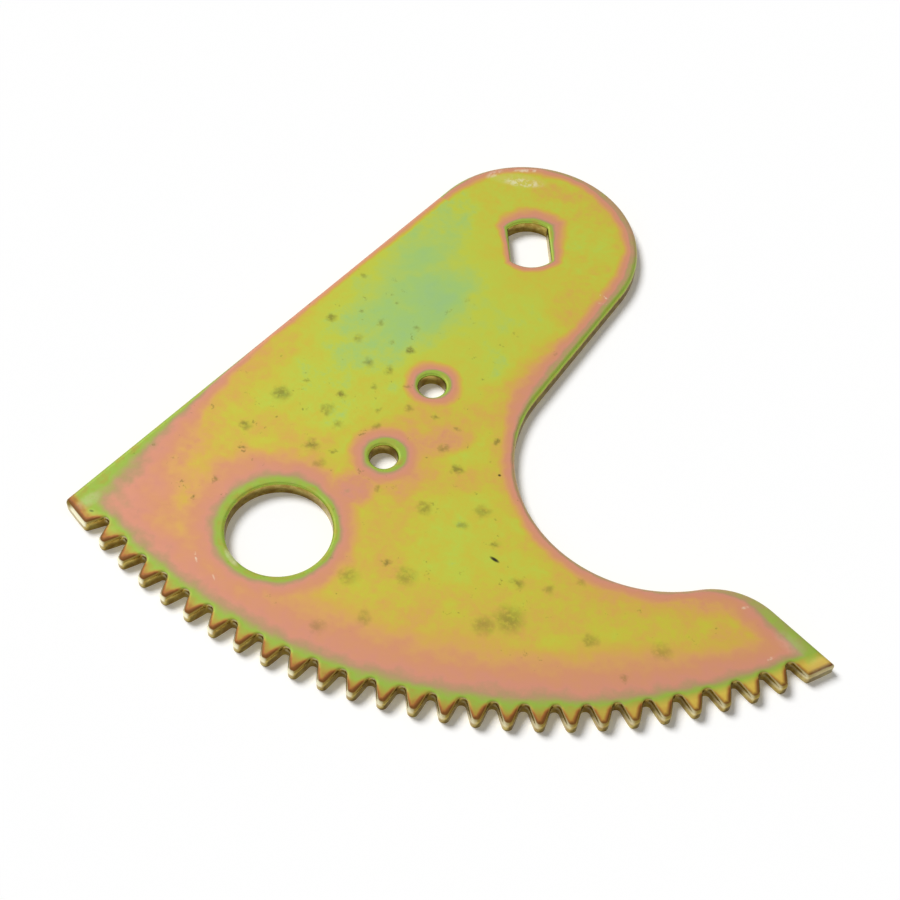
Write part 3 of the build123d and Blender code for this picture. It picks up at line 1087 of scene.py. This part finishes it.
def plating(sizes, finish, form):
    """The yellow chromate finish."""
    material = bpy.data.materials.new("yellow_chromate")
    material.use_nodes = True
    tree = material.node_tree
    shader = tree.nodes["Principled BSDF"]
    place = Place(tree)
    normal = tree.nodes.new("ShaderNodeNewGeometry").outputs["Normal"]
    split = tree.nodes.new("ShaderNodeSeparateXYZ")
    feed(split.inputs[0], normal)
    slope = Number(split.outputs["Z"]).math("ABSOLUTE")
    film, spaces, from_run = film_thickness(place, form, sizes)
    face = face_colour(place, film, spaces, from_run, finish)
    wall, bend = edge_colours(place, normal, spaces, finish, form)
    # The bends near the teeth take the bend colour with its painted highlight
    face = mixed(slope.ease(*BEND_SLOPE) * spaces.ramp(*NEAR_TEETH), face, bend)
    feed(shader.inputs["Base Color"], mixed(slope.ease(*WALL_SLOPE), face, wall))
    rough = noise(place, *SHINE_NOISE).ramp(*SHINE) + finish.face_roughness
    bent = slope.ease(*SHINE_SLOPE)
    feed(shader.inputs["Roughness"], choose(bent, finish.wall_roughness, rough))
    feed(shader.inputs["Metallic"], bent.ramp(0, 1, finish.face_metallic, finish.wall_metallic))
    shader.inputs["Specular IOR Level"].default_value = SPECULAR
    bump = tree.nodes.new("ShaderNodeBump")
    bump.inputs["Strength"].default_value = BUMP_STRENGTH
    bump.inputs["Distance"].default_value = BUMP_HEIGHT
    feed(bump.inputs["Height"], noise(place, *BUMP_NOISE))
    feed(shader.inputs["Normal"], bump.outputs[0])
    return material


class SECTOR_OT_plate(bpy.types.Operator):
    """Model the blanked plate with its teeth, holes and rolled edges"""
    bl_idname = "sector.plate"
    bl_label = "Sector Plate"
    bl_options = {"REGISTER", "UNDO"}

    def execute(self, context):
        sizes = context.scene.sector_plate
        plate = bpy.data.objects.new("sector_gear_plate", plate_mesh(sizes))
        context.scene.collection.objects.link(plate)
        plate.data.materials.append(plating(sizes, context.scene.sector_finish, PlateForm(sizes)))
        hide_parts(NODE)
        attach(plate, "root")
        return {"FINISHED"}


FLOOR_LIFT = 0.06


def floor_material():
    """A white floor that keeps the plate's shadow."""
    material = bpy.data.materials.new("white_floor")
    material.use_nodes = True
    shader = material.node_tree.nodes["Principled BSDF"]
    shader.inputs["Base Color"].default_value = (1, 1, 1, 1)
    shader.inputs["Roughness"].default_value = 1
    shader.inputs["Specular IOR Level"].default_value = 0
    shader.inputs["Emission Color"].default_value = (1, 1, 1, 1)
    path = material.node_tree.nodes.new("ShaderNodeLightPath")
    seen = Number(path.outputs["Is Camera Ray"])
    feed(shader.inputs["Emission Strength"], seen.ramp(0, 1, 0, FLOOR_LIFT))
    return material


def add_world(scene, strength):
    """An even white light, with a white background for the camera."""
    world = bpy.data.worlds.new("white_studio")
    world.use_nodes = True
    scene.world = world
    background = world.node_tree.nodes["Background"]
    background.inputs["Color"].default_value = (1, 1, 1, 1)
    path = world.node_tree.nodes.new("ShaderNodeLightPath")
    seen = Number(path.outputs["Is Camera Ray"]).math("MAXIMUM", path.outputs["Is Glossy Ray"])
    feed(background.inputs["Strength"], seen.ramp(0, 1, strength, 1))
    world.cycles.sampling_method = "NONE"


class SECTOR_OT_stage(bpy.types.Operator):
    """Set up the floor, the lamp, the sky and the camera"""
    bl_idname = "sector.stage"
    bl_label = "Stage"
    bl_options = {"REGISTER", "UNDO"}

    def execute(self, context):
        scene = context.scene
        stage = scene.sector_stage
        ground = bmesh.new()
        bmesh.ops.create_grid(ground, x_segments=1, y_segments=1, size=stage.floor_size / 2)
        mesh = bpy.data.meshes.new("floor")
        ground.to_mesh(mesh)
        ground.free()
        mesh.materials.append(floor_material())
        floor = bpy.data.objects.new("floor", mesh)
        scene.collection.objects.link(floor)
        sun = bpy.data.lights.new("lamp", "SUN")
        sun.energy = stage.lamp_strength
        sun.angle = stage.lamp_spread
        lamp = bpy.data.objects.new("lamp", sun)
        towards = polar(cos(stage.lamp_elevation), stage.lamp_azimuth)
        towards.z = sin(stage.lamp_elevation)
        lamp.rotation_euler = towards.to_track_quat("Z", "Y").to_euler()
        scene.collection.objects.link(lamp)
        add_world(scene, stage.sky_strength)
        camera_data = bpy.data.cameras.new("camera")
        camera_data.lens = stage.lens
        camera = bpy.data.objects.new("camera", camera_data)
        back = polar(cos(stage.elevation), stage.azimuth - pi / 2)
        back.z = sin(stage.elevation)
        target = Vector((stage.target_x, stage.target_y, 0))
        turn = back.to_track_quat("Z", "Y").to_matrix().to_4x4()
        place = Matrix.Translation(target + back * stage.distance)
        camera.matrix_world = place @ turn @ Matrix.Rotation(stage.roll, 4, "Z")
        scene.collection.objects.link(camera)
        scene.camera = camera
        scene.view_settings.view_transform = "Standard"
        return {"FINISHED"}


class SECTOR_PT_panel(bpy.types.Panel):
    """Lists the plate's operators"""
    bl_label = "Sector Gear"
    bl_space_type = "VIEW_3D"
    bl_region_type = "UI"
    bl_category = "Sector Gear"

    def draw(self, context):
        self.layout.operator(SECTOR_OT_plate.bl_idname)
        self.layout.operator(SECTOR_OT_stage.bl_idname)


CLASSES = (SectorPlateSettings, SectorFinishSettings, SectorStageSettings,
           SECTOR_OT_plate, SECTOR_OT_stage, SECTOR_PT_panel)


def register():
    for cls in CLASSES:
        bpy.utils.register_class(cls)
    bpy.types.Scene.sector_plate = PointerProperty(type=SectorPlateSettings)
    bpy.types.Scene.sector_finish = PointerProperty(type=SectorFinishSettings)
    bpy.types.Scene.sector_stage = PointerProperty(type=SectorStageSettings)


def unregister():
    del bpy.types.Scene.sector_stage
    del bpy.types.Scene.sector_finish
    del bpy.types.Scene.sector_plate
    for cls in reversed(CLASSES):
        bpy.utils.unregister_class(cls)


def main():
    register()
    bpy.ops.sector.plate()
    bpy.ops.sector.stage()


if __name__ == "__main__":
    main()
